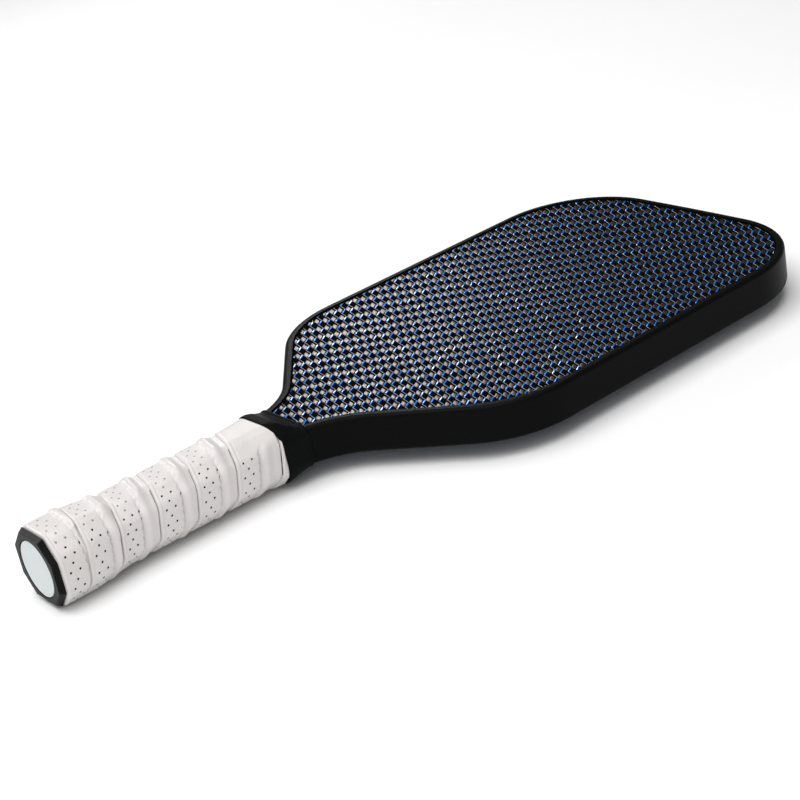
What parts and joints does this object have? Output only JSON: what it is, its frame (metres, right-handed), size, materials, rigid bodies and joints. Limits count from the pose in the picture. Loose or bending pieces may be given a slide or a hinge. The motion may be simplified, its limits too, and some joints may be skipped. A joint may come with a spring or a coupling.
{
  "type": "pickleball paddle",
  "caption": "Elongated pickleball paddle with a woven hitting face, black edge guard, rubber collar, white perforated cushion grip and flared octagonal butt cap.",
  "frame": {"origin": "centre of the butt's end face, on the handle's axis", "axes": "+Y from the butt to the head along the handle, +Z out of the front hitting face, +X across the face"},
  "size_m": [0.1814, 0.4191, 0.0352],
  "materials": {
    "honeycomb_core": "matt polypropylene",
    "adhesive": "clear amber film",
    "backing_ply": "cured carbon laminate",
    "woven_face": "resin-set plain weave of grey and black yarns with blue foil",
    "edge_guard": "satin",
    "handle_pallet": "moulded, matt",
    "butt_cap": "moulded, satin",
    "staple": "galvanised wire",
    "badge": "plain matt vinyl",
    "grip": "perforated polyurethane, satin",
    "finishing_tape": "vinyl tape",
    "collar": "matt"
  },
  "bodies": {
    "root": {"core_panel": "honeycomb_core", "front_adhesive_film": "adhesive", "back_adhesive_film": "adhesive", "front_backing_ply": "backing_ply", "back_backing_ply": "backing_ply", "front_woven_ply": "woven_face", "back_woven_ply": "woven_face", "edge_guard": "edge_guard", "edge_guard_tape": "adhesive", "handle_pallet_front": "handle_pallet", "handle_pallet_back": "handle_pallet", "pallet_bond_front": "adhesive", "pallet_bond_back": "adhesive", "butt_cap": "butt_cap", "butt_cap_staples": "staple", "badge_adhesive": "adhesive", "butt_badge": "badge", "grip_adhesive_tape": "adhesive", "grip_wrap": "grip", "grip_finishing_tape": "finishing_tape", "grip_collar": "collar"}
  },
  "joints": []
}
